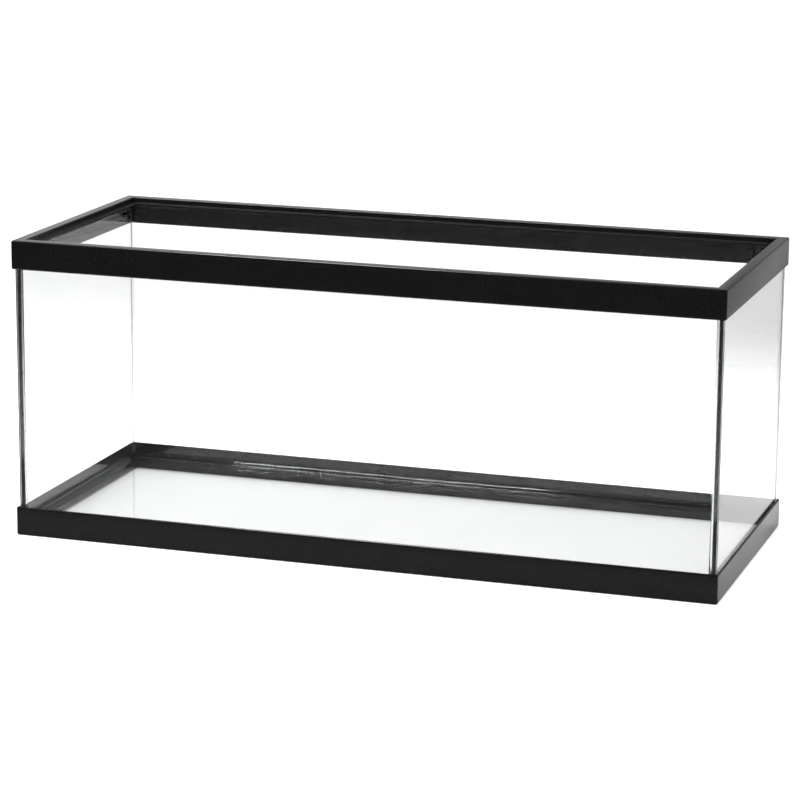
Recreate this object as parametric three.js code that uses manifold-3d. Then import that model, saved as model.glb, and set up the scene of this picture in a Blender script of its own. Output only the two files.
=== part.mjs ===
// Open-topped glass aquarium tank with a moulded plastic frame round its rim and its base.
//
// Frame: +Z up, millimetres, origin at the middle of the footprint on the surface it stands on.
// X runs along the length (left is -X), Y from the front (-Y) to the rear (+Y).
//
// Four upright panes stand round a raised base pane. The front and rear panes cover the edges of
// the two end panes. Clear silicone bonds every glass edge to the pane beside it, a tooled bead
// seals every inside corner, and both frames are glued over the glass edges.

import * as THREE from 'three';
import { mergeVertices } from 'three/addons/utils/BufferGeometryUtils.js';
import Module from 'manifold-3d';

const wasm = await Module();
wasm.setup();

// ---- driving dimensions ----

const tank = { length: 768, depth: 314, height: 321 };

const glassThickness = 4.8;
const glassInset = 3.3;
const arris = 0.4;

const frameHeight = 31;
const skirtWall = 2.2;
const cornerRadius = 2.4;

const rimWidth = 12;
const rimEdgeRadius = 2;
const rimWall = 2;
const ledgeDrop = 6;
const ledgeWidth = 6;
const ledgeThickness = 2;
const lipDrop = 3.5;

const shelfTop = 9;
const shelfThickness = 2;
const shelfWidth = 16;
const legWall = 2;
const footEdgeRadius = 0.8;

const touchGap = 0.3;
const bondThickness = 0.6;

const cornerSealLeg = 5;
const baseSealAcross = 10;
const baseSealUp = 9;
const cornerSealTopMargin = 10;

const curveSteps = 5;
const bevelSteps = 4;
const cutOverrun = 5;

// ---- dimensions that follow ----

const jointWidth = bondThickness + 2 * touchGap;
const glassBottom = shelfTop + jointWidth;
const glassTop = tank.height - skirtWall - jointWidth;
const paneHeight = glassTop - glassBottom;
const baseTop = glassBottom + glassThickness;

const innerInset = glassInset + glassThickness;
const innerX = tank.length / 2 - innerInset;
const innerY = tank.depth / 2 - innerInset;
const endPaneWidth = 2 * (innerY - jointWidth);
const basePaneLength = 2 * (innerX - jointWidth);

// ---- materials ----

const plastic = new THREE.MeshStandardMaterial({ color: 0x17171a, roughness: 0.38, metalness: 0 });
const glass = new THREE.MeshStandardMaterial({ color: 0xe4efec, roughness: 0.04, metalness: 0 });
const silicone = new THREE.MeshStandardMaterial({ color: 0xdfe3e2, roughness: 0.3, metalness: 0 });

// ---- shapes ----

// A rectangle of the tank's footprint pulled in by an inset on every side.
function footprint(inset, radius) {
  const x = tank.length / 2 - inset;
  const y = tank.depth / 2 - inset;
  const shape = new THREE.Shape();
  shape.moveTo(-x + radius, -y);
  shape.lineTo(x - radius, -y);
  shape.absarc(x - radius, -y + radius, radius, -Math.PI / 2, 0, false);
  shape.lineTo(x, y - radius);
  shape.absarc(x - radius, y - radius, radius, 0, Math.PI / 2, false);
  shape.lineTo(-x + radius, y);
  shape.absarc(-x + radius, y - radius, radius, Math.PI / 2, Math.PI, false);
  shape.lineTo(-x, -y + radius);
  shape.absarc(-x + radius, -y + radius, radius, Math.PI, 1.5 * Math.PI, false);
  return shape;
}

// A plain prism over the footprint pulled in by an inset, between two heights.
function prism(inset, low, high) {
  const geometry = new THREE.BoxGeometry(tank.length - 2 * inset, tank.depth - 2 * inset, high - low);
  geometry.translate(0, 0, (low + high) / 2);
  return geometry;
}

// The same, with rounded upright corners and with its top and bottom edges rounded over.
function roundedPrism(edgeRadius, low, high) {
  const inner = footprint(edgeRadius, cornerRadius - edgeRadius);
  const geometry = new THREE.ExtrudeGeometry(inner, {
    depth: high - low - 2 * edgeRadius,
    bevelEnabled: true,
    bevelThickness: edgeRadius,
    bevelSize: edgeRadius,
    bevelSegments: bevelSteps,
    curveSegments: curveSteps,
  });
  geometry.translate(0, 0, low + edgeRadius);
  return geometry;
}

// ---- joining and cutting ----

function solid(geometry) {
  const bare = geometry.clone();
  bare.deleteAttribute('normal');
  bare.deleteAttribute('uv');
  const merged = mergeVertices(bare);
  return new wasm.Manifold(new wasm.Mesh({
    numProp: 3,
    vertProperties: new Float32Array(merged.attributes.position.array),
    triVerts: new Uint32Array(merged.index.array),
  }));
}

function geometryOf(manifold) {
  const mesh = manifold.getMesh();
  const geometry = new THREE.BufferGeometry();
  geometry.setAttribute('position', new THREE.BufferAttribute(mesh.vertProperties, mesh.numProp));
  geometry.setIndex(new THREE.BufferAttribute(mesh.triVerts, 1));
  geometry.computeVertexNormals();
  return geometry;
}

// A rectangular ring between two insets and two heights.
function ring(outerInset, holeInset, low, high) {
  const outer = solid(prism(outerInset, low, high));
  const hole = solid(prism(holeInset, low - cutOverrun, high + cutOverrun));
  return outer.subtract(hole);
}

// ---- the two frames ----

// Top frame: a skirt outside the glass, a flat rim over its edge, an inner wall down to a ledge
// that carries a lid, and a short lip under the ledge's inner edge.
function topFrameGeometry() {
  const top = tank.height;
  const bottom = top - frameHeight;
  const ledgeTop = top - ledgeDrop;
  const ledgeUnder = ledgeTop - ledgeThickness;
  const ledgeInset = rimWidth + ledgeWidth;
  const block = solid(roundedPrism(rimEdgeRadius, bottom - cutOverrun, top));
  const belowSkirt = solid(prism(-cutOverrun, bottom - 2 * cutOverrun, bottom));
  const underRim = solid(prism(skirtWall, bottom - 2 * cutOverrun, top - skirtWall));
  const lidRecess = solid(prism(rimWidth, ledgeTop, top + cutOverrun));
  const innerWall = ring(rimWidth - rimWall, ledgeInset, ledgeUnder, top - skirtWall);
  const lip = ring(ledgeInset - rimWall, ledgeInset, ledgeTop - lipDrop, ledgeUnder);
  const skirtAndRim = block.subtract(belowSkirt).subtract(underRim);
  return geometryOf(skirtAndRim.add(innerWall).add(lip).subtract(lidRecess));
}

// Bottom frame: a skirt outside the glass, a shelf that carries every pane, and a leg under the
// shelf's inner edge that stands on the same surface as the skirt.
function bottomFrameGeometry() {
  const block = solid(roundedPrism(footEdgeRadius, 0, frameHeight));
  const aboveShelf = solid(prism(skirtWall, shelfTop, frameHeight + cutOverrun));
  const middle = solid(prism(shelfWidth, -cutOverrun, frameHeight + cutOverrun));
  const underShelf = ring(skirtWall, shelfWidth - legWall, -cutOverrun, shelfTop - shelfThickness);
  return geometryOf(block.subtract(aboveShelf).subtract(middle).subtract(underShelf));
}

// ---- glass ----

// A pane lying flat, centred on the origin, with its cut edges lightly seamed.
function paneGeometry(width, height) {
  const x = width / 2 - arris;
  const y = height / 2 - arris;
  const outline = new THREE.Shape();
  outline.moveTo(-x, -y);
  outline.lineTo(x, -y);
  outline.lineTo(x, y);
  outline.lineTo(-x, y);
  const geometry = new THREE.ExtrudeGeometry(outline, {
    depth: glassThickness - 2 * arris,
    bevelEnabled: true,
    bevelThickness: arris,
    bevelSize: arris,
    bevelSegments: 1,
  });
  geometry.translate(0, 0, arris - glassThickness / 2);
  return geometry;
}

// ---- silicone ----

// A bead with two flat legs along a corner and a hollow tooled face, running along +Z from 0.
function sealGeometry(across, up, length) {
  const section = new THREE.Shape();
  section.moveTo(0, 0);
  section.lineTo(across, 0);
  section.absellipse(across, up, across, up, -Math.PI / 2, -Math.PI, true);
  section.lineTo(0, 0);
  return new THREE.ExtrudeGeometry(section, {
    depth: length,
    bevelEnabled: false,
    curveSegments: curveSteps,
  });
}

// ---- assembly ----

const aquarium = new THREE.Group();

function place(name, geometry, material, position) {
  const mesh = new THREE.Mesh(geometry, material);
  mesh.name = name;
  mesh.position.set(...position);
  aquarium.add(mesh);
  return mesh;
}

// Places a seal bead by the corner it starts from and the directions of its two legs.
function placeSeal(name, geometry, corner, across, up) {
  const legs = [new THREE.Vector3(...across), new THREE.Vector3(...up)];
  const along = new THREE.Vector3().crossVectors(...legs);
  const turn = new THREE.Matrix4().makeBasis(...legs, along);
  place(name, geometry, silicone, corner).quaternion.setFromRotationMatrix(turn);
}

const quarter = Math.PI / 2;
const ends = [['left', -1], ['right', 1]];
const faces = [['front', -1], ['rear', 1]];
const paneMiddle = (glassBottom + glassTop) / 2;
const paneCentreInset = glassInset + glassThickness / 2;

place('top_frame', topFrameGeometry(), plastic, [0, 0, 0]);
place('bottom_frame', bottomFrameGeometry(), plastic, [0, 0, 0]);

for (const [face, side] of faces) {
  const y = side * (tank.depth / 2 - paneCentreInset);
  const pane = paneGeometry(tank.length - 2 * glassInset, paneHeight);
  place(`${face}_pane`, pane, glass, [0, y, paneMiddle]).rotation.set(quarter, 0, 0);
}

for (const [end, side] of ends) {
  const x = side * (tank.length / 2 - paneCentreInset);
  const pane = paneGeometry(endPaneWidth, paneHeight);
  place(`${end}_pane`, pane, glass, [x, 0, paneMiddle]).rotation.set(quarter, 0, quarter, 'ZYX');
}

const baseMiddle = glassBottom + glassThickness / 2;
const basePane = paneGeometry(basePaneLength, endPaneWidth);
place('base_pane', basePane, glass, [0, 0, baseMiddle]);

// Structural bond between each end pane's upright edges and the front and rear panes.
for (const [face, ySide] of faces) {
  for (const [end, xSide] of ends) {
    const bond = new THREE.BoxGeometry(glassThickness, bondThickness, paneHeight);
    const x = xSide * (tank.length / 2 - paneCentreInset);
    const y = ySide * (innerY - jointWidth / 2);
    place(`bond_${face}_${end}`, bond, silicone, [x, y, paneMiddle]);
  }
}

// Structural bond between the base pane's edges and the upright panes.
for (const [face, side] of faces) {
  const bond = new THREE.BoxGeometry(basePaneLength, bondThickness, glassThickness);
  place(`base_bond_${face}`, bond, silicone, [0, side * (innerY - jointWidth / 2), baseMiddle]);
}

for (const [end, side] of ends) {
  const bond = new THREE.BoxGeometry(bondThickness, endPaneWidth, glassThickness);
  place(`base_bond_${end}`, bond, silicone, [side * (innerX - jointWidth / 2), 0, baseMiddle]);
}

// Tooled seal beads along the base pane. The front and rear beads run the whole length, and the
// end beads stop short of them.
const sealX = innerX - touchGap;
const sealY = innerY - touchGap;
const sealFloor = baseTop + touchGap;
const endSealHalf = sealY - baseSealAcross - touchGap;
const up = [0, 0, 1];

for (const [face, side] of faces) {
  const seal = sealGeometry(baseSealAcross, baseSealUp, 2 * sealX);
  const corner = [side * sealX, side * sealY, sealFloor];
  placeSeal(`base_seal_${face}`, seal, corner, [0, -side, 0], up);
}

for (const [end, side] of ends) {
  const seal = sealGeometry(baseSealAcross, baseSealUp, 2 * endSealHalf);
  const corner = [side * sealX, -side * endSealHalf, sealFloor];
  placeSeal(`base_seal_${end}`, seal, corner, [-side, 0, 0], up);
}

// Tooled seal beads up the four inside corners, from the base beads to just under the ledge.
const cornerSealBottom = sealFloor + baseSealUp + touchGap;
const cornerSealLength = tank.height - cornerSealTopMargin - cornerSealBottom;

for (const [face, ySide] of faces) {
  for (const [end, xSide] of ends) {
    const seal = sealGeometry(cornerSealLeg, cornerSealLeg, cornerSealLength);
    const corner = [xSide * sealX, ySide * sealY, cornerSealBottom];
    const alongX = [-xSide, 0, 0];
    const alongY = [0, -ySide, 0];
    const legs = xSide === ySide ? [alongX, alongY] : [alongY, alongX];
    placeSeal(`corner_seal_${face}_${end}`, seal, corner, ...legs);
  }
}

// Beads of adhesive that hold each frame on: under the rim along each pane's top edge, and on the
// shelf under each upright pane and the edge of the base pane.
const beads = [
  ['top_adhesive', glassTop + jointWidth / 2, glassThickness],
  ['bottom_adhesive', glassBottom - jointWidth / 2, shelfWidth - glassInset - touchGap],
];

for (const [name, z, width] of beads) {
  const centreInset = glassInset + width / 2;
  const longBead = tank.length - 2 * glassInset;
  const shortBead = tank.depth - 2 * (glassInset + width + touchGap);
  for (const [face, side] of faces) {
    const bead = new THREE.BoxGeometry(longBead, width, bondThickness);
    place(`${name}_${face}`, bead, silicone, [0, side * (tank.depth / 2 - centreInset), z]);
  }
  for (const [end, side] of ends) {
    const bead = new THREE.BoxGeometry(width, shortBead, bondThickness);
    place(`${name}_${end}`, bead, silicone, [side * (tank.length / 2 - centreInset), 0, z]);
  }
}

export default aquarium;
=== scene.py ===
"""Looks of an open-topped glass aquarium tank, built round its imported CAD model.

Two moulded plastic frames, five float glass panes and the silicone that joins them. Metres, +Z up,
X along the length, the front at -Y, origin at the middle of the footprint on the floor.
"""

import math

import bmesh
import bpy
from bpy.props import FloatProperty, FloatVectorProperty, PointerProperty
from mathutils import Matrix, Vector, noise


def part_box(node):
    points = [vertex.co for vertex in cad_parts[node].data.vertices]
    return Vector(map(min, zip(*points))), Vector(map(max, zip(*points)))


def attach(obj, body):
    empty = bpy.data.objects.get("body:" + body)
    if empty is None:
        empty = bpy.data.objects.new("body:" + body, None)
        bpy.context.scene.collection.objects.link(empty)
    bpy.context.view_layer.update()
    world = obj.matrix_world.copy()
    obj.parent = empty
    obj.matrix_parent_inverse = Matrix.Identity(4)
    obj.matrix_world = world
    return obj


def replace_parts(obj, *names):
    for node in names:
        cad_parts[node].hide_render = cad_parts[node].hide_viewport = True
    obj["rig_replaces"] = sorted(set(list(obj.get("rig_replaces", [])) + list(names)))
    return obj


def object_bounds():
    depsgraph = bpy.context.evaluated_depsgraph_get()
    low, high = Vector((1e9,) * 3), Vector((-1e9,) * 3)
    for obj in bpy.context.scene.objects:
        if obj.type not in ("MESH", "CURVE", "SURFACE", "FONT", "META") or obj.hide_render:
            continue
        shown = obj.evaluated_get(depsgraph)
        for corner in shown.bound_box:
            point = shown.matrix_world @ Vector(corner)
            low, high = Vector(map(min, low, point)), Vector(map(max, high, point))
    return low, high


bl_info = {
    "name": "Glass aquarium tank",
    "version": (1, 0, 0),
    "blender": (4, 5, 0),
    "location": "3D View > Sidebar > Aquarium",
    "description": "Builds the frames, glass and silicone of a rimmed aquarium tank",
    "category": "Add Mesh",
}

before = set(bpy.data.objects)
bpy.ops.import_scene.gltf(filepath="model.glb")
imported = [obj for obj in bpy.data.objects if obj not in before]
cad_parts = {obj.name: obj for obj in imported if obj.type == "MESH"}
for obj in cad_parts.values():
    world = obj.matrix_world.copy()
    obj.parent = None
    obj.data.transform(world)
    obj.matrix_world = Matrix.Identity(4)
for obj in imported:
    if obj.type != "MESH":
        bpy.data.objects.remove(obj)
cad_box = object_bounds()

MM = 0.001
BODY = "root"
PLASTIC = "frame_plastic"
SILICONE = "clear_silicone"
ENDS = (("left", -1), ("right", 1))
FACES = (("front", -1), ("rear", 1))

# Modelling: how close counts as the same place, and the angles that count as an edge.
SAME_PLACE = 1e-5
MERGE_GAP = 1e-6
SMOOTH_ANGLE = math.radians(35)
SHARP_ANGLE = math.radians(50)

# Glass: how deep under a pane's face its cut edge still counts as skin.
EDGE_DEPTH = 0.3 * MM

# Beads: share of each leg that the hollow face takes, and how hollow it is.
BASE_HOLLOW = 88
CORNER_HOLLOW = 98
HOLLOW_PROFILE = 0.18
FLARE_LENGTH = 14 * MM

# Unevenness: lengths over which a bead's size wanders, and the quick one's share.
SLOW_WANDER = 0.13
QUICK_WANDER = 0.035
QUICK_SHARE = 0.35

# Where in the noise each bead and joint starts.
BASE_BEAD_SEEDS = {"front": 1.7, "left": 4.3}
CORNER_BEAD_SEED = 9.1
UPRIGHT_JOINT_SEED = 12.3
BASE_JOINT_SEEDS = {"front": 15.6, "left": 18.9}

# Floor: radius to which it is solid, and at which it has faded away.
FLOOR_SOLID = 0.55
FLOOR_REACH = 1.5
FLOOR_DROP = 0.0002
# How far in front of the tank the floor's painted reflection shade reaches.
REFLECTION_SHADE_REACH = 0.9

# Overhead softbox: place, length and width.
SOFTBOX_PLACE = (-0.75, -0.4, 2.0)
SOFTBOX_LENGTH = 0.7
SOFTBOX_WIDTH = 0.3

# Surround as gloss sees it, by the parts of a heading of length 1: where the left glow turns into
# the right one, how sharp the horizon is, and where the front has faded to its last glow.
GLOW_TURN = (-0.45, -0.12)
HORIZON_BLUR = 0.05
FRONT_FADE = 0.45
FRONT_GLOW = 0.02


def linear(hex_colour):
    """The linear RGB of an sRGB hex colour."""
    channels = [int(hex_colour[i:i + 2], 16) / 255 for i in (1, 3, 5)]
    return [c / 12.92 if c <= 0.04045 else ((c + 0.055) / 1.055) ** 2.4 for c in channels]


# ---- what a user may change ----


def length(name, description, millimetres):
    """A length property with its default in millimetres."""
    return FloatProperty(name=name, description=description, default=millimetres * MM,
                         min=0, precision=5, unit="LENGTH")


def share(name, description, default):
    """A property between 0 and 1."""
    return FloatProperty(name=name, description=description, default=default,
                         min=0, max=1, subtype="FACTOR")


def amount(name, description, default):
    """A plain positive number."""
    return FloatProperty(name=name, description=description, default=default, min=0)


def angle(name, description, degrees):
    """An angle property with its default in degrees."""
    return FloatProperty(name=name, description=description, default=math.radians(degrees),
                         subtype="ANGLE", unit="ROTATION")


def colour(name, description, hex_colour):
    """A colour property with its default as an sRGB hex value."""
    return FloatVectorProperty(name=name, description=description, default=linear(hex_colour),
                               min=0, max=1, subtype="COLOR")


class FrameSizes(bpy.types.PropertyGroup):
    skirt_wall: length("Skirt wall", "Wall thickness of both frames outside the glass", 2.2)
    rim_width: length("Rim width", "Width of the flat rim over the glass edge", 12)
    rim_wall: length("Rim wall", "Thickness of the wall down to the lid ledge", 2)
    ledge_drop: length("Ledge drop", "Depth of the lid ledge below the rim", 6)
    ledge_width: length("Ledge width", "Width of the lid ledge", 6)
    ledge_thickness: length("Ledge thickness", "Thickness of the lid ledge", 2)
    lip_drop: length("Lip drop", "Depth of the lip's edge below the ledge", 3.5)
    shelf_top: length("Shelf height", "Height of the shelf that carries the glass", 9)
    shelf_thickness: length("Shelf thickness", "Thickness of that shelf", 2)
    shelf_width: length("Shelf width", "Shelf's reach in from the outside of the frame", 16)
    leg_wall: length("Leg wall", "Thickness of the leg under the shelf's inner edge", 2)
    outer_radius: length("Outer radius", "Rounding of the outer corners and the rim", 2)
    inner_radius: length("Inner radius", "Rounding where the rim turns into the opening", 1.0)
    small_radius: length("Small radius", "Rounding that the mould leaves on every other edge", 0.35)


class SiliconeSizes(bpy.types.PropertyGroup):
    wetting: length("Wetting", "How far silicone reaches into the face of the glass it wets", 0.02)
    base_across: length("Base bead across", "Width of the base beads on the base pane", 8)
    base_up: length("Base bead up", "Height of the base beads on the upright panes", 6.5)
    corner_leg: length("Corner bead leg", "Width of the corner beads on either pane", 3)
    station: length("Station", "Distance between two sections of a bead", 5)
    unevenness: share("Unevenness", "How far a hand-tooled bead's size wanders", 0.16)
    joint_recess: share("Joint recess", "How far the edges of a filled joint may fall back", 0.12)
    squeeze_width: length("Squeezed line", "Width of the line squeezed out under the rim", 1.3)
    squeeze_radius: length("Squeezed bend", "Radius in which that line turns level", 14)
    squeeze_drop: length("Squeezed drop", "How far under the bead's end that line starts", 19.6)
    flare: amount("Top flare", "How much wider a corner bead ends under the lid ledge", 4.0)


class Finishes(bpy.types.PropertyGroup):
    plastic_dark: colour("Plastic, dark", "Darkest tone of the black polystyrene", "#09090a")
    plastic_light: colour("Plastic, light", "Lightest tone of the black polystyrene", "#0f0f10")
    plastic_roughness: share("Plastic roughness", "Mean roughness of the moulded skin", 0.24)
    glass_tint: colour("Glass tint", "Colour of the glass surface", "#fcfdfd")
    glass_body: colour("Glass body", "Colour that a long way through the glass leaves", "#969999")
    glass_density: amount("Glass density", "Absorption of the glass per metre", 11)
    edge_roughness: share("Edge roughness", "Roughness of the bare cut edges of the glass", 0.4)
    silicone_tint: colour("Silicone tint", "Colour of the cured silicone", "#f1f4f3")
    silicone_body: colour("Silicone body", "Colour that a long way through it leaves", "#8f9494")
    silicone_density: amount("Silicone density", "Absorption of the silicone per metre", 55)
    silicone_roughness: share("Silicone roughness", "Mean roughness of the tooled skin", 0.07)


class StageSettings(bpy.types.PropertyGroup):
    azimuth: angle("Azimuth", "Camera's turn to the right of the tank's front", 18.066)
    elevation: angle("Elevation", "Camera's height above the horizon", 13.228)
    roll: angle("Roll", "Camera's turn about its own axis", 0.48)
    position: FloatVectorProperty(name="Camera position", description="Where the camera stands",
                                  default=(0.9889, -3.0396, 0.8965), subtype="XYZ", unit="LENGTH")
    lens: FloatProperty(name="Lens", description="Focal length on a 36 mm sensor, in millimetres",
                        default=137.48, min=1)
    backdrop: amount("Backdrop", "Brightness of the backdrop seen directly or through glass", 1.3)
    dome: amount("Dome", "Brightness of the light all round, as matt surfaces see it", 1.95)
    glow_left: amount("Glow, left", "Brightness that gloss picks up from the left rear", 0.8)
    glow_right: amount("Glow, right", "Brightness that gloss picks up from the right rear", 0.3)
    glow_low: amount("Glow, low", "Brightness that gloss picks up from below the horizon", 0.45)
    softbox: amount("Softbox", "Power of the overhead softbox, in watts", 28)
    # Painted shade in reflections of the floor: the shares of its tone that gloss sees.
    reflected_floor: share("Reflected floor", "Brightness of the floor in reflections", 0.92)
    flag_right: share("Shaded right", "Brightness in reflections of the floor on the right", 0.65)
    flag_near: share("Shaded floor", "Brightness in reflections of the floor by the front", 0.12)
    floor_tone: colour("Floor", "Tone of the pale floor", "#f2f2f1")


# ---- modelling ----


def start_block(name, corner, opposite):
    """Adds a block between two opposite corners and opens it in edit mode."""
    corner = Vector(corner)
    opposite = Vector(opposite)
    size = [abs(far - near) for near, far in zip(corner, opposite)]
    bpy.ops.object.select_all(action="DESELECT")
    bpy.ops.mesh.primitive_cube_add(size=1, location=(corner + opposite) / 2, scale=size)
    piece = bpy.context.object
    piece.name = name
    piece.data.name = name
    bpy.ops.object.transform_apply(location=True, rotation=True, scale=True)
    bpy.ops.object.mode_set(mode="EDIT")
    return piece


def pick(piece, kind, wanted):
    """Selects the faces or edges that pass a test, and nothing else."""
    bpy.ops.mesh.select_mode(type=kind)
    bpy.ops.mesh.select_all(action="DESELECT")
    mesh = bmesh.from_edit_mesh(piece.data)
    for item in mesh.faces if kind == "FACE" else mesh.edges:
        if wanted(item):
            item.select_set(True)
    bmesh.update_edit_mesh(piece.data)


def pick_facing(piece, direction):
    """Selects the faces that look along a direction."""
    pick(piece, "FACE", lambda face: face.normal.dot(Vector(direction)) > 0.99)


def walk_in(steps):
    """Takes the selected face in by insets and along Z by extrusions, then opens the hole."""
    for inset, rise in steps:
        bpy.ops.mesh.inset(thickness=inset, depth=0)
        bpy.ops.mesh.extrude_region_move(TRANSFORM_OT_translate={"value": (0, 0, rise)})
    bpy.ops.mesh.delete(type="FACE")


def edge_lies(edge, half_length, half_depth, level):
    """Whether an edge lies in an end plane, in a front or rear plane, and at a level."""
    on_end = all(abs(abs(v.co.x) - half_length) < SAME_PLACE for v in edge.verts)
    on_face = all(abs(abs(v.co.y) - half_depth) < SAME_PLACE for v in edge.verts)
    at_level = all(abs(v.co.z - level) < SAME_PLACE for v in edge.verts)
    return on_end, on_face, at_level


def round_outer_edges(piece, half_length, half_depth, level, radius):
    """Rounds the outer upright corners and the outer edge at one level."""
    def is_outer(edge):
        on_end, on_face, at_level = edge_lies(edge, half_length, half_depth, level)
        return (on_end and on_face) or ((on_end or on_face) and at_level)

    pick(piece, "EDGE", is_outer)
    bpy.ops.mesh.bevel(offset=radius, segments=5, profile=0.5, affect="EDGES", clamp_overlap=False)


def round_inner_rim(piece, half_length, half_depth, level, radius):
    """Rounds the edge where the flat rim turns down into the opening."""
    def is_inner(edge):
        on_end, on_face, at_level = edge_lies(edge, half_length, half_depth, level)
        return (on_end or on_face) and at_level

    pick(piece, "EDGE", is_inner)
    bpy.ops.mesh.bevel(offset=radius, segments=4, profile=0.5, affect="EDGES", clamp_overlap=False)


def ease_sharp_edges(radius):
    """Gives every edge that is still sharp the small radius a mould leaves."""
    bpy.ops.mesh.select_mode(type="EDGE")
    bpy.ops.mesh.select_all(action="DESELECT")
    bpy.ops.mesh.edges_select_sharp(sharpness=SHARP_ANGLE)
    bpy.ops.mesh.bevel(offset=radius, segments=3, profile=0.5, affect="EDGES", clamp_overlap=True)


def close_piece(piece, material, slot, *nodes):
    """Leaves edit mode with clean normals and sets what the piece is and what it stands for."""
    bpy.ops.mesh.select_all(action="SELECT")
    bpy.ops.mesh.remove_doubles(threshold=MERGE_GAP)
    bpy.ops.mesh.normals_make_consistent(inside=False)
    bpy.ops.object.mode_set(mode="OBJECT")
    bpy.ops.object.shade_smooth_by_angle(angle=SMOOTH_ANGLE)
    return settle(piece, material, slot, *nodes)


def settle(piece, material, slot, *nodes):
    """Gives a piece its material, body and the CAD nodes that it stands for."""
    piece.data.materials.clear()
    piece.data.materials.append(material)
    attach(piece, BODY)
    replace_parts(piece, *nodes)
    return piece


def copy_turned(piece, name, turn):
    """A copy of a piece with its own mesh, turned or mirrored about the origin."""
    twin = piece.copy()
    del twin["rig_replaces"]
    twin.data = piece.data.copy()
    twin.name = name
    twin.data.name = name
    bpy.context.scene.collection.objects.link(twin)
    twin.data.transform(turn)
    if turn.determinant() < 0:
        twin.data.flip_normals()
    return twin


def copy_to_corners(piece, material, name, node):
    """Copies the rear left one of four upright pieces to the other three corners."""
    for face, face_side in FACES:
        for end, end_side in ENDS:
            if (face, end) != ("rear", "left"):
                mirror = Matrix.Diagonal((-end_side, face_side, 1, 1))
                twin = copy_turned(piece, f"{name}_{face}_{end}", mirror)
                settle(twin, material, SILICONE, f"{node}_{face}_{end}")


def copy_across(piece, material, name, node):
    """Copies one of two facing pieces by half a turn to the other side of the tank."""
    twin = copy_turned(piece, name, Matrix.Rotation(math.pi, 4, "Z"))
    return settle(twin, material, SILICONE, node)


# ---- materials ----


def add_node(tree, kind, settings=None, **sockets):
    """Adds a node, sets its properties, and sets or links its sockets by name."""
    node = tree.nodes.new(kind)
    for name, value in (settings or {}).items():
        setattr(node, name, value)
    for name, value in sockets.items():
        socket = node.inputs[name.replace("_", " ")]
        if isinstance(value, bpy.types.NodeSocket):
            tree.links.new(value, socket)
        else:
            socket.default_value = value
    return node


def new_material(name):
    """An empty node material, its tree and the place on the piece that its patterns read."""
    material = bpy.data.materials.new(name)
    material.use_nodes = True
    tree = material.node_tree
    tree.nodes.clear()
    place = add_node(tree, "ShaderNodeTexCoord").outputs["Object"]
    return material, tree, place


def noise_pattern(tree, place, size, detail=2.0, roughness=0.5):
    """A noise whose features are of a real size in metres."""
    return add_node(tree, "ShaderNodeTexNoise", Vector=place, Scale=1 / size, Detail=detail,
                    Roughness=roughness).outputs["Fac"]


def spread(tree, pattern, low, high):
    """Turns the middle half of a noise into a range of values."""
    return add_node(tree, "ShaderNodeMapRange", Value=pattern, From_Min=0.3, From_Max=0.7,
                    To_Min=low, To_Max=high).outputs["Result"]


def rgba(rgb):
    """A colour with full opacity."""
    return (*rgb, 1)


def after_bounce(tree, depth):
    """1 for light paths that have had a bounce of the named kind, else 0."""
    paths = add_node(tree, "ShaderNodeLightPath").outputs
    test = add_node(tree, "ShaderNodeMath", {"operation": "GREATER_THAN"}, Value=paths[depth])
    test.inputs[1].default_value = 0.5
    return test.outputs["Value"]


def black_polystyrene(finish):
    """Black high-impact polystyrene, injection moulded in a lightly spark-eroded tool.

    The eye sees a deep black with a soft sheen, faintly wavy along the thin walls where they
    shrank, and a fine even grain that keeps reflections from being sharp.
    """
    material, tree, place = new_material("black_polystyrene")
    flow = noise_pattern(tree, place, 30 * MM, detail=3)
    shrinkage = noise_pattern(tree, place, 45 * MM, detail=1)
    # The real grain is about 0.1 mm; it is drawn at 0.7 mm so that it shows.
    grain = noise_pattern(tree, place, 0.7 * MM, detail=2)
    tone = add_node(tree, "ShaderNodeMix", {"data_type": "RGBA"}, Factor=flow)
    tone.inputs[6].default_value = rgba(finish.plastic_dark)
    tone.inputs[7].default_value = rgba(finish.plastic_light)
    mean = finish.plastic_roughness
    roughness = spread(tree, grain, mean - 0.04, mean + 0.04)
    waves = add_node(tree, "ShaderNodeBump", Height=shrinkage, Distance=0.12 * MM, Strength=1.0)
    texture = add_node(tree, "ShaderNodeBump", Height=grain, Distance=0.012 * MM, Strength=0.6,
                       Normal=waves.outputs["Normal"])
    shader = add_node(tree, "ShaderNodeBsdfPrincipled", Base_Color=tone.outputs[2],
                      Roughness=roughness, IOR=1.59, Normal=texture.outputs["Normal"])
    add_node(tree, "ShaderNodeOutputMaterial", Surface=shader.outputs["BSDF"])
    return material


def beyond(tree, value, limit):
    """1 where a coordinate is further than a limit from the middle, else 0."""
    reach = add_node(tree, "ShaderNodeMath", {"operation": "ABSOLUTE"}, Value=value)
    test = add_node(tree, "ShaderNodeMath", {"operation": "GREATER_THAN"},
                    Value=reach.outputs["Value"])
    test.inputs[1].default_value = limit
    return test.outputs["Value"]


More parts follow.
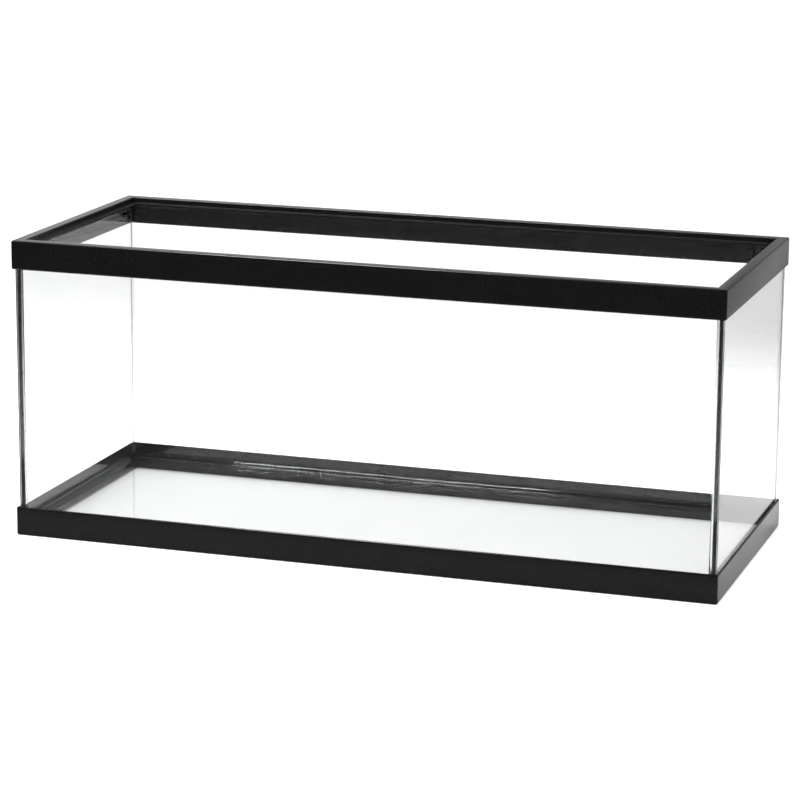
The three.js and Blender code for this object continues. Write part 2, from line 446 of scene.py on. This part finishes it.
def soda_lime_glass(finish):
    """Soda-lime float glass with seamed edges.

    The faces are optically flat and nearly colourless. Looked at along the pane, through its cut
    edge, the length of glass in the way turns the view grey. Where the front and rear panes end,
    the cut is bare and the belt that seamed it left it matt.
    """
    material, tree, place = new_material("soda_lime_glass")
    wipe_marks = noise_pattern(tree, place, 60 * MM, detail=4, roughness=0.6)
    tone = add_node(tree, "ShaderNodeMix", {"data_type": "RGBA"}, Factor=wipe_marks)
    tone.inputs[6].default_value = rgba(finish.glass_tint)
    tone.inputs[7].default_value = rgba((1, 1, 1))
    haze = spread(tree, wipe_marks, 0.0, 0.006)
    sides = add_node(tree, "ShaderNodeSeparateXYZ", Vector=place).outputs
    end_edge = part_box("front_pane")[1].x - EDGE_DEPTH
    inner_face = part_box("rear_pane")[0].y - EDGE_DEPTH
    cut = add_node(tree, "ShaderNodeMath", {"operation": "MULTIPLY"})
    tree.links.new(beyond(tree, sides["X"], end_edge), cut.inputs[0])
    tree.links.new(beyond(tree, sides["Y"], inner_face), cut.inputs[1])
    skin = add_node(tree, "ShaderNodeMix", Factor=cut.outputs["Value"], A=haze,
                    B=finish.edge_roughness)
    shader = add_node(tree, "ShaderNodeBsdfPrincipled", Base_Color=tone.outputs[2],
                      Roughness=skin.outputs["Result"], IOR=1.52, Transmission_Weight=1.0)
    body = add_node(tree, "ShaderNodeVolumeAbsorption", Color=rgba(finish.glass_body),
                    Density=finish.glass_density)
    add_node(tree, "ShaderNodeOutputMaterial", Surface=shader.outputs["BSDF"],
             Volume=body.outputs["Volume"])
    return material


def acetoxy_silicone(finish):
    """Clear acetoxy silicone sealant, gunned into the joint and tooled with a wet finger.

    It wets the glass and bends what lies behind it, with a soft gloss and the small ripples that
    the tooling leaves across the bead.
    """
    material, tree, place = new_material("acetoxy_silicone")
    ripples = noise_pattern(tree, place, 9 * MM, detail=2)
    cloud = noise_pattern(tree, place, 14 * MM, detail=3)
    tone = add_node(tree, "ShaderNodeMix", {"data_type": "RGBA"}, Factor=cloud)
    tone.inputs[6].default_value = rgba(finish.silicone_tint)
    tone.inputs[7].default_value = rgba((1, 1, 1))
    mean = finish.silicone_roughness
    roughness = spread(tree, cloud, mean - 0.04, mean + 0.04)
    tooling = add_node(tree, "ShaderNodeBump", Height=ripples, Distance=0.12 * MM, Strength=0.7)
    shader = add_node(tree, "ShaderNodeBsdfPrincipled", Base_Color=tone.outputs[2],
                      Roughness=roughness, IOR=1.41, Transmission_Weight=1.0,
                      Normal=tooling.outputs["Normal"])
    body = add_node(tree, "ShaderNodeVolumeAbsorption", Color=rgba(finish.silicone_body),
                    Density=finish.silicone_density)
    add_node(tree, "ShaderNodeOutputMaterial", Surface=shader.outputs["BSDF"],
             Volume=body.outputs["Volume"])
    return material


def pale_floor(stage):
    """Matt white laminated board, evenly pale with a barely visible mottle.

    Painted shade in reflections: where gloss sees it, its colour is painted dimmer, lower on the
    right and dark in front of the tank, as if black flags stood there.
    """
    material, tree, place = new_material("pale_floor")
    mottle = noise_pattern(tree, place, 120 * MM, detail=3)
    tone = add_node(tree, "ShaderNodeMix", {"data_type": "RGBA"}, Factor=mottle)
    tone.inputs[6].default_value = rgba(stage.floor_tone)
    tone.inputs[7].default_value = rgba(linear("#f6f6f6"))
    sides = add_node(tree, "ShaderNodeSeparateXYZ", Vector=place).outputs
    front = cad_box[0][1]
    right = cad_box[1][0]
    # Painted reflection shade: for glossy rays the floor's colour is scaled down, to near black in
    # front of the tank and lower on the right.
    dimmed = add_node(tree, "ShaderNodeMapRange", Value=sides["Y"], From_Min=front - REFLECTION_SHADE_REACH,
                      From_Max=front, To_Min=0, To_Max=stage.flag_near).outputs["Result"]
    behind = add_node(tree, "ShaderNodeMapRange", Value=sides["X"],
                      From_Min=right - 0.01, From_Max=right, To_Min=stage.reflected_floor,
                      To_Max=stage.flag_right).outputs["Result"]
    past_front = add_node(tree, "ShaderNodeMapRange", Value=sides["Y"], From_Min=front,
                          From_Max=front + 0.02, To_Min=0, To_Max=behind)
    painted_reflection_shade = add_node(tree, "ShaderNodeMath", {"operation": "MAXIMUM"})
    tree.links.new(dimmed, painted_reflection_shade.inputs[0])
    tree.links.new(past_front.outputs["Result"], painted_reflection_shade.inputs[1])
    share_seen = add_node(tree, "ShaderNodeMix", Factor=after_bounce(tree, "Glossy Depth"), A=1.0,
                          B=painted_reflection_shade.outputs["Value"])
    seen = add_node(tree, "ShaderNodeVectorMath", {"operation": "SCALE"}, Vector=tone.outputs[2],
                    Scale=share_seen.outputs["Result"])
    board = add_node(tree, "ShaderNodeBsdfPrincipled", Base_Color=seen.outputs["Vector"],
                     Roughness=0.9, Specular_IOR_Level=0.0)
    distance = add_node(tree, "ShaderNodeVectorMath", {"operation": "LENGTH"}, Vector=place)
    fade = add_node(tree, "ShaderNodeMapRange", {"interpolation_type": "SMOOTHSTEP"},
                    Value=distance.outputs["Value"], From_Min=FLOOR_SOLID, From_Max=FLOOR_REACH,
                    To_Min=0, To_Max=1)
    clear = add_node(tree, "ShaderNodeBsdfTransparent")
    blend = add_node(tree, "ShaderNodeMixShader", Fac=fade.outputs["Result"])
    tree.links.new(board.outputs["BSDF"], blend.inputs[1])
    tree.links.new(clear.outputs["BSDF"], blend.inputs[2])
    add_node(tree, "ShaderNodeOutputMaterial", Surface=blend.outputs["Shader"])
    return material


def shared(make, finish):
    """A material made the first time it is asked for."""
    return bpy.data.materials.get(make.__name__) or make(finish)


# ---- silicone beads ----


def wander(where, seed, reach):
    """A smooth factor near 1 that changes along a bead, the same each time."""
    slow = noise.noise(Vector((where / SLOW_WANDER, seed, 0.5)))
    quick = noise.noise(Vector((where / QUICK_WANDER, seed, 7.5)))
    return 1 + reach * (slow + QUICK_SHARE * quick)


def pull_section(piece, along, corner, stations, factors):
    """Extrudes the end of a bead from station to station, resizing the section about its corner."""
    pick_facing(piece, along)
    last_place = stations[0]
    last_size = factors(last_place)
    for place in stations[1:]:
        size = factors(place)
        step = along * (place - last_place)
        ratio = Vector([new / old for new, old in zip(size, last_size)])
        bpy.ops.mesh.extrude_region_move(TRANSFORM_OT_translate={"value": step})
        bpy.ops.transform.resize(value=ratio, center_override=corner + along * place)
        last_place = place
        last_size = size


def tooled_bead(name, corner, across, up, along, bead_length, station, seed, reach, hollow,
                flare=0.0):
    """A fillet of silicone with two flat legs and a hollow face, uneven as tooled by hand.

    across and up are the legs as vectors from the corner, and along is the bead's direction. The
    hollow face takes a share of both legs, in percent. flare widens the bead towards its far end.
    """
    count = max(2, round(bead_length / station))
    stations = [bead_length * i / count for i in range(1, count + 1)]
    piece = start_block(name, corner, corner + across + up + along * stations[0])
    free_corner = corner + across + up

    def is_free_edge(edge):
        return all((v.co - free_corner).cross(along).length < SAME_PLACE for v in edge.verts)

    pick(piece, "EDGE", is_free_edge)
    bpy.ops.mesh.bevel(offset_type="PERCENT", offset_pct=hollow, segments=8, profile=HOLLOW_PROFILE,
                       affect="EDGES", clamp_overlap=False)

    def factors(place):
        near_end = max(0.0, 1 - (bead_length - place) / FLARE_LENGTH)
        widening = 1 + flare * near_end * near_end
        leg_across = wander(place, seed, reach) * widening
        leg_up = wander(place, seed + 3.1, reach)
        scale = Vector((1, 1, 1))
        for axis in range(3):
            if abs(across[axis]) > 0:
                scale[axis] = leg_across
            if abs(up[axis]) > 0:
                scale[axis] = leg_up
        return scale

    pull_section(piece, along, corner, stations, factors)
    return piece


def filled_joint(name, node, across_axis, gap, along_axis, sizes, seed):
    """A film of silicone that fills the gap between two panes, uneven along its outer edge.

    across_axis is the one the film is thin along, gap where the two panes face each other, and
    along_axis the one the joint runs along. The edge that a bead covers, towards the inside of
    the tank, is high in X and Z, and stays straight.
    """
    low, high = (Vector(corner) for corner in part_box(node))
    low[across_axis] = gap[0] - sizes.wetting
    high[across_axis] = gap[1] + sizes.wetting
    joint_length = high[along_axis] - low[along_axis]
    along = Vector((0, 0, 0))
    along[along_axis] = 1
    count = round(joint_length / sizes.station)
    stations = [joint_length * i / count for i in range(1, count + 1)]
    first = high.copy()
    first[along_axis] = low[along_axis] + stations[0]
    piece = start_block(name, low, first)
    covered = high.copy()
    covered[along_axis] = low[along_axis]
    edge_axis = 3 - across_axis - along_axis

    def factors(place):
        scale = Vector((1, 1, 1))
        scale[edge_axis] = 1 - sizes.joint_recess * abs(wander(place, seed, 1) - 1)
        return scale

    pull_section(piece, along, covered, stations, factors)
    return piece


def squeezed_line(name, start, width, depth, radius):
    """A thin rounded line of silicone on the rear pane, turning from upright to level."""
    piece = start_block(name, start, start + Vector((width, -depth, -width / 2)))

    def is_free_edge(edge):
        upright = abs(edge.verts[0].co.z - edge.verts[1].co.z) > SAME_PLACE
        return upright and all(abs(v.co.y - start.y + depth) < SAME_PLACE for v in edge.verts)

    pick(piece, "EDGE", is_free_edge)
    bpy.ops.mesh.bevel(offset=0.4 * width, segments=3, profile=0.5, affect="EDGES",
                       clamp_overlap=False)
    pick_facing(piece, (0, 0, 1))
    bpy.ops.mesh.spin(steps=12, angle=-math.pi / 2, center=start + Vector((radius, 0, 0)),
                      axis=(0, 1, 0))
    return piece


# ---- pieces ----


class AQUARIUM_OT_top_frame(bpy.types.Operator):
    """Builds the top frame: skirt, rim, lid ledge and lip"""

    bl_idname = "aquarium.top_frame"
    bl_label = "Top frame"

    def execute(self, context):
        sizes = context.scene.tank_frames
        low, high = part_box("top_frame")
        piece = start_block("rim_frame", low, high)
        pick_facing(piece, (0, 0, 1))
        walk_in([
            (sizes.rim_width, -sizes.ledge_drop),
            (sizes.ledge_width, -sizes.lip_drop),
        ])
        height = high.z - low.z
        ledge_under = sizes.ledge_drop + sizes.ledge_thickness
        lip_edge = sizes.ledge_drop + sizes.lip_drop
        pick_facing(piece, (0, 0, -1))
        walk_in([
            (sizes.skirt_wall, height - sizes.skirt_wall),
            (sizes.rim_width - sizes.rim_wall - sizes.skirt_wall, sizes.skirt_wall - ledge_under),
            (sizes.ledge_width, ledge_under - lip_edge),
            (sizes.rim_wall, 0),
        ])
        bpy.ops.mesh.select_all(action="SELECT")
        bpy.ops.mesh.remove_doubles(threshold=MERGE_GAP)
        round_outer_edges(piece, high.x, high.y, high.z, sizes.outer_radius)
        round_inner_rim(piece, high.x - sizes.rim_width, high.y - sizes.rim_width, high.z,
                        sizes.inner_radius)
        ease_sharp_edges(sizes.small_radius)
        plastic = shared(black_polystyrene, context.scene.tank_finishes)
        close_piece(piece, plastic, PLASTIC, "top_frame")
        return {"FINISHED"}


class AQUARIUM_OT_bottom_frame(bpy.types.Operator):
    """Builds the bottom frame: skirt, shelf and inner leg"""

    bl_idname = "aquarium.bottom_frame"
    bl_label = "Bottom frame"

    def execute(self, context):
        sizes = context.scene.tank_frames
        low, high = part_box("bottom_frame")
        piece = start_block("base_frame", low, high)
        shelf_under = sizes.shelf_top - sizes.shelf_thickness
        pick_facing(piece, (0, 0, -1))
        walk_in([
            (sizes.skirt_wall, shelf_under),
            (sizes.shelf_width - sizes.leg_wall - sizes.skirt_wall, -shelf_under),
            (sizes.leg_wall, sizes.shelf_top),
        ])
        pick_facing(piece, (0, 0, 1))
        walk_in([
            (sizes.skirt_wall, sizes.shelf_top - (high.z - low.z)),
            (sizes.shelf_width - sizes.skirt_wall, 0),
        ])
        bpy.ops.mesh.select_all(action="SELECT")
        bpy.ops.mesh.remove_doubles(threshold=MERGE_GAP)
        round_outer_edges(piece, high.x, high.y, low.z, sizes.outer_radius)
        ease_sharp_edges(sizes.small_radius)
        plastic = shared(black_polystyrene, context.scene.tank_finishes)
        close_piece(piece, plastic, PLASTIC, "bottom_frame")
        return {"FINISHED"}


class AQUARIUM_OT_glass_panes(bpy.types.Operator):
    """Finishes the five CAD panes as float glass"""

    bl_idname = "aquarium.glass_panes"
    bl_label = "Glass panes"

    def execute(self, context):
        glass = shared(soda_lime_glass, context.scene.tank_finishes)
        for name in ("front_pane", "rear_pane", "left_pane", "right_pane", "base_pane"):
            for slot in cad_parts[name].material_slots:
                slot.material = glass
        return {"FINISHED"}


class AQUARIUM_OT_silicone_bonds(bpy.types.Operator):
    """Fills the joints between the panes and finishes the frame adhesive"""

    bl_idname = "aquarium.silicone_bonds"
    bl_label = "Bonds and adhesive"

    def execute(self, context):
        sizes = context.scene.tank_silicone
        silicone = shared(acetoxy_silicone, context.scene.tank_finishes)
        corner_gap = (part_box("left_pane")[1].y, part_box("rear_pane")[0].y)
        upright = filled_joint("joint_rear_left", "bond_rear_left", 1, corner_gap, 2, sizes,
                               UPRIGHT_JOINT_SEED)
        close_piece(upright, silicone, SILICONE, "bond_rear_left")
        copy_to_corners(upright, silicone, "joint", "bond")

        front_gap = (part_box("front_pane")[1].y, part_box("base_pane")[0].y)
        front = filled_joint("base_joint_front", "base_bond_front", 1, front_gap, 0, sizes,
                             BASE_JOINT_SEEDS["front"])
        close_piece(front, silicone, SILICONE, "base_bond_front")
        copy_across(front, silicone, "base_joint_rear", "base_bond_rear")

        left_gap = (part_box("left_pane")[1].x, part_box("base_pane")[0].x)
        left = filled_joint("base_joint_left", "base_bond_left", 0, left_gap, 1, sizes,
                            BASE_JOINT_SEEDS["left"])
        close_piece(left, silicone, SILICONE, "base_bond_left")
        copy_across(left, silicone, "base_joint_right", "base_bond_right")

        for name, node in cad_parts.items():
            if "adhesive" in name:
                for slot in node.material_slots:
                    slot.material = silicone
        return {"FINISHED"}


class AQUARIUM_OT_base_seals(bpy.types.Operator):
    """Builds the tooled beads round the base pane"""

    bl_idname = "aquarium.base_seals"
    bl_label = "Base seals"

    def execute(self, context):
        sizes = context.scene.tank_silicone
        silicone = shared(acetoxy_silicone, context.scene.tank_finishes)
        wall_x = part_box("left_pane")[1].x - sizes.wetting
        wall_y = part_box("front_pane")[1].y - sizes.wetting
        floor_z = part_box("base_pane")[1].z - sizes.wetting
        up = Vector((0, 0, sizes.base_up))

        long_corner = Vector((wall_x, wall_y, floor_z))
        long_bead = tooled_bead("base_bead_front", long_corner, Vector((0, sizes.base_across, 0)), up,
                                Vector((1, 0, 0)), -2 * wall_x, sizes.station,
                                BASE_BEAD_SEEDS["front"], sizes.unevenness, BASE_HOLLOW)
        close_piece(long_bead, silicone, SILICONE, "base_seal_front")
        copy_across(long_bead, silicone, "base_bead_rear", "base_seal_rear")

        start_y = wall_y + sizes.base_across / 2
        short_corner = Vector((wall_x, start_y, floor_z))
        short_bead = tooled_bead("base_bead_left", short_corner, Vector((sizes.base_across, 0, 0)),
                                 up, Vector((0, 1, 0)), -2 * start_y, sizes.station,
                                 BASE_BEAD_SEEDS["left"], sizes.unevenness, BASE_HOLLOW)
        close_piece(short_bead, silicone, SILICONE, "base_seal_left")
        copy_across(short_bead, silicone, "base_bead_right", "base_seal_right")
        return {"FINISHED"}


class AQUARIUM_OT_corner_seals(bpy.types.Operator):
    """Builds the tooled beads up the four inside corners"""

    bl_idname = "aquarium.corner_seals"
    bl_label = "Corner seals"

    def execute(self, context):
        sizes = context.scene.tank_silicone
        silicone = shared(acetoxy_silicone, context.scene.tank_finishes)
        wall_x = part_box("left_pane")[1].x - sizes.wetting
        wall_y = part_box("rear_pane")[0].y + sizes.wetting
        low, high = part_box("corner_seal_rear_left")
        bottom = low.z - sizes.base_up / 2
        corner = Vector((wall_x, wall_y, bottom))
        bead = tooled_bead("corner_bead_rear_left", corner, Vector((sizes.corner_leg, 0, 0)),
                           Vector((0, -sizes.corner_leg, 0)), Vector((0, 0, 1)), high.z - bottom,
                           sizes.station, CORNER_BEAD_SEED, sizes.unevenness, CORNER_HOLLOW,
                           sizes.flare)
        bpy.ops.object.mode_set(mode="OBJECT")
        start = Vector((wall_x + sizes.corner_leg, wall_y, high.z - sizes.squeeze_drop))
        squeezed_line("squeezed_line", start, sizes.squeeze_width, sizes.squeeze_width / 2,
                      sizes.squeeze_radius)
        bpy.ops.object.mode_set(mode="OBJECT")
        bead.select_set(True)
        context.view_layer.objects.active = bead
        bpy.ops.object.join()
        bpy.ops.object.mode_set(mode="EDIT")
        close_piece(bead, silicone, SILICONE, "corner_seal_rear_left")
        copy_to_corners(bead, silicone, "corner_bead", "corner_seal")
        return {"FINISHED"}


# ---- stage ----


def place_camera(stage):
    """Sets up the camera from its position and its three angles."""
    azimuth, elevation, roll = stage.azimuth, stage.elevation, stage.roll
    back = Vector((math.sin(azimuth) * math.cos(elevation),
                   -math.cos(azimuth) * math.cos(elevation), math.sin(elevation)))
    right = Vector((math.cos(azimuth), math.sin(azimuth), 0))
    up = back.cross(right)
    rolled_right = math.cos(roll) * right + math.sin(roll) * up
    rolled_up = math.cos(roll) * up - math.sin(roll) * right
    turn = Matrix((rolled_right, rolled_up, back)).transposed().to_4x4()
    bpy.ops.object.camera_add()
    camera = bpy.context.object
    camera.name = "camera"
    camera.matrix_world = Matrix.Translation(Vector(stage.position)) @ turn
    camera.data.lens = stage.lens
    camera.data.sensor_width = 36
    camera.data.clip_end = 50
    bpy.context.scene.camera = camera


def light_world(stage):
    """A white backdrop all round, and for gloss a softer glow that fades to the right and front."""
    world = bpy.data.worlds.new("studio")
    world.use_nodes = True
    tree = world.node_tree
    tree.nodes.clear()
    heading = add_node(tree, "ShaderNodeTexCoord").outputs["Generated"]
    sides = add_node(tree, "ShaderNodeSeparateXYZ", Vector=heading).outputs
    upper = add_node(tree, "ShaderNodeMapRange", Value=sides["X"], From_Min=GLOW_TURN[0],
                     From_Max=GLOW_TURN[1], To_Min=stage.glow_left,
                     To_Max=stage.glow_right).outputs["Result"]
    height = add_node(tree, "ShaderNodeMapRange", Value=sides["Z"], From_Min=-HORIZON_BLUR,
                      From_Max=HORIZON_BLUR, To_Min=0, To_Max=1).outputs["Result"]
    glow = add_node(tree, "ShaderNodeMix", Factor=height, A=stage.glow_low,
                    B=upper).outputs["Result"]
    front_fade = add_node(tree, "ShaderNodeMapRange", Value=sides["Y"], From_Min=0.0,
                          From_Max=FRONT_FADE, To_Min=FRONT_GLOW, To_Max=1).outputs["Result"]
    faded = add_node(tree, "ShaderNodeMath", {"operation": "MULTIPLY"})
    tree.links.new(glow, faded.inputs[0])
    tree.links.new(front_fade, faded.inputs[1])
    seen = add_node(tree, "ShaderNodeMix", Factor=after_bounce(tree, "Glossy Depth"),
                    A=stage.backdrop, B=faded.outputs["Value"])
    strength = add_node(tree, "ShaderNodeMix", Factor=after_bounce(tree, "Diffuse Depth"),
                        A=seen.outputs["Result"], B=stage.dome)
    light = add_node(tree, "ShaderNodeBackground", Color=(1, 1, 1, 1),
                     Strength=strength.outputs["Result"])
    add_node(tree, "ShaderNodeOutputWorld", Surface=light.outputs["Background"])
    bpy.context.scene.world = world


def lay_floor(stage):
    """The pale floor, which fades into the backdrop well away from the tank."""
    bpy.ops.object.select_all(action="DESELECT")
    bpy.ops.mesh.primitive_circle_add(vertices=96, radius=FLOOR_REACH, fill_type="NGON",
                                      location=(0, 0, -FLOOR_DROP))
    floor = bpy.context.object
    floor.name = "floor"
    bpy.ops.object.transform_apply(location=True, rotation=True, scale=True)
    floor.data.materials.append(pale_floor(stage))


def hang_softbox(stage):
    """An overhead softbox, the source of the highlights on the silicone and the rounded edges."""
    bpy.ops.object.light_add(type="AREA", location=SOFTBOX_PLACE)
    light = bpy.context.object
    light.name = "softbox"
    light.data.shape = "RECTANGLE"
    light.data.size = SOFTBOX_LENGTH
    light.data.size_y = SOFTBOX_WIDTH
    light.data.energy = stage.softbox


class AQUARIUM_OT_stage(bpy.types.Operator):
    """Sets up the floor, lights and camera"""

    bl_idname = "aquarium.stage"
    bl_label = "Stage"

    def execute(self, context):
        scene = context.scene
        stage = scene.tank_stage
        scene.view_settings.view_transform = "Standard"
        scene.cycles.max_bounces = 40
        scene.cycles.glossy_bounces = 24
        scene.cycles.transmission_bounces = 40
        scene.cycles.diffuse_bounces = 4
        scene.cycles.blur_glossy = 0
        lay_floor(stage)
        hang_softbox(stage)
        light_world(stage)
        place_camera(stage)
        return {"FINISHED"}


# ---- add-on ----


STEPS = (
    AQUARIUM_OT_stage,
    AQUARIUM_OT_top_frame,
    AQUARIUM_OT_bottom_frame,
    AQUARIUM_OT_glass_panes,
    AQUARIUM_OT_silicone_bonds,
    AQUARIUM_OT_base_seals,
    AQUARIUM_OT_corner_seals,
)

SETTINGS = (
    ("tank_frames", FrameSizes),
    ("tank_silicone", SiliconeSizes),
    ("tank_finishes", Finishes),
    ("tank_stage", StageSettings),
)


class AQUARIUM_PT_tank(bpy.types.Panel):
    """Lists the settings and the steps that build the tank"""

    bl_label = "Aquarium tank"
    bl_idname = "AQUARIUM_PT_tank"
    bl_space_type = "VIEW_3D"
    bl_region_type = "UI"
    bl_category = "Aquarium"

    def draw(self, context):
        for name, group in SETTINGS:
            settings = getattr(context.scene, name)
            box = self.layout.box()
            for key in group.__annotations__:
                box.prop(settings, key)
        for step in STEPS:
            self.layout.operator(step.bl_idname)


def register():
    """Makes the settings, steps and panel known to Blender."""
    for name, group in SETTINGS:
        bpy.utils.register_class(group)
        setattr(bpy.types.Scene, name, PointerProperty(type=group))
    for step in (*STEPS, AQUARIUM_PT_tank):
        bpy.utils.register_class(step)


def unregister():
    """Takes them away again."""
    for step in reversed((*STEPS, AQUARIUM_PT_tank)):
        bpy.utils.unregister_class(step)
    for name, group in reversed(SETTINGS):
        delattr(bpy.types.Scene, name)
        bpy.utils.unregister_class(group)


def main():
    """Builds the tank step by step."""
    register()
    for step in STEPS:
        area, action = step.bl_idname.split(".")
        getattr(getattr(bpy.ops, area), action)()


if __name__ == "__main__":
    main()
